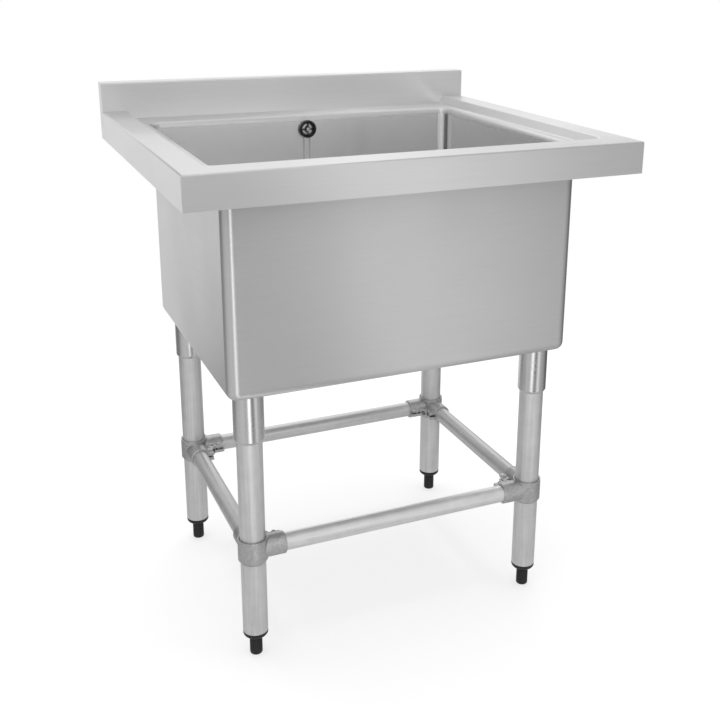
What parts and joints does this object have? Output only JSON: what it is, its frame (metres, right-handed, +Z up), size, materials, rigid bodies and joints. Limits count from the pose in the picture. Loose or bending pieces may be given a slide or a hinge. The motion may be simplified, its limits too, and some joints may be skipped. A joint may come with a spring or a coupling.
{
  "type": "utility laundry sink",
  "caption": "Free-standing stainless utility sink: raised-edge worktop with splashback, deep single bowl, tubular leg frame with rails and screw-adjustable feet.",
  "frame": {"origin": "on the floor, under the middle of the worktop", "axes": "+X to the right, -Y to the front where a person stands, +Y to the splashback, +Z up"},
  "size_m": [0.79, 0.7, 0.956],
  "materials": {
    "worktop_sheet": "brushed",
    "bowl_sheet": "brushed",
    "polished_steel": "polished",
    "satin_tube": "matt satin",
    "cast_aluminium": "cast, tumbled",
    "waste_metal": "satin",
    "bright_plated": "bright",
    "bright_screws": "satin",
    "black_plastic": "fine moulded texture",
    "black_gloss_plastic": "smooth moulded",
    "white_plastic": "smooth moulded",
    "black_rubber": "matt"
  },
  "bodies": {
    "frame": {"bowl": "bowl_sheet", "clamp_leg_screws": "bright_screws", "clamp_rail_screws": "bright_screws", "corner_clamp_front_left": "cast_aluminium", "corner_clamp_front_right": "cast_aluminium", "corner_clamp_rear_left": "cast_aluminium", "corner_clamp_rear_right": "cast_aluminium", "foot_insert_front_left": "black_plastic", "foot_insert_front_right": "black_plastic", "foot_insert_rear_left": "black_plastic", "foot_insert_rear_right": "black_plastic", "leg_front_left": "satin_tube", "leg_front_right": "satin_tube", "leg_rear_left": "satin_tube", "leg_rear_right": "satin_tube", "leg_socket_front_left": "polished_steel", "leg_socket_front_right": "polished_steel", "leg_socket_rear_left": "polished_steel", "leg_socket_rear_right": "polished_steel", "overflow_elbow": "bright_plated", "overflow_gasket": "black_rubber", "overflow_nuts": "white_plastic", "overflow_pipe": "white_plastic", "overflow_rose": "black_gloss_plastic", "overflow_screw": "bright_screws", "rail_front": "satin_tube", "rail_left": "satin_tube", "rail_rear": "satin_tube", "rail_right": "satin_tube", "socket_screws": "bright_screws", "waste_backnut": "black_plastic", "waste_body": "waste_metal", "waste_lower_seal": "black_rubber", "waste_upper_seal": "black_rubber", "worktop": "worktop_sheet"},
    "strainer": {"strainer_basket": "waste_metal", "strainer_seal": "black_rubber", "strainer_knob": "black_gloss_plastic"},
    "foot_front_left_body": {"foot_front_left": "black_plastic"},
    "foot_front_right_body": {"foot_front_right": "black_plastic"},
    "foot_rear_left_body": {"foot_rear_left": "black_plastic"},
    "foot_rear_right_body": {"foot_rear_right": "black_plastic"}
  },
  "joints": [
    {"name": "strainer_lift", "type": "slide", "parent": "frame", "child": "strainer", "axis": [0, 0, 1], "range_m": [0, 0.45]},
    {"name": "foot_height_front_left", "type": "slide", "parent": "frame", "child": "foot_front_left_body", "axis": [0, 0, -1], "range_m": [-0.015, 0.02]},
    {"name": "foot_height_front_right", "type": "slide", "parent": "frame", "child": "foot_front_right_body", "axis": [0, 0, -1], "range_m": [-0.015, 0.02]},
    {"name": "foot_height_rear_left", "type": "slide", "parent": "frame", "child": "foot_rear_left_body", "axis": [0, 0, -1], "range_m": [-0.015, 0.02]},
    {"name": "foot_height_rear_right", "type": "slide", "parent": "frame", "child": "foot_rear_right_body", "axis": [0, 0, -1], "range_m": [-0.015, 0.02]}
  ]
}
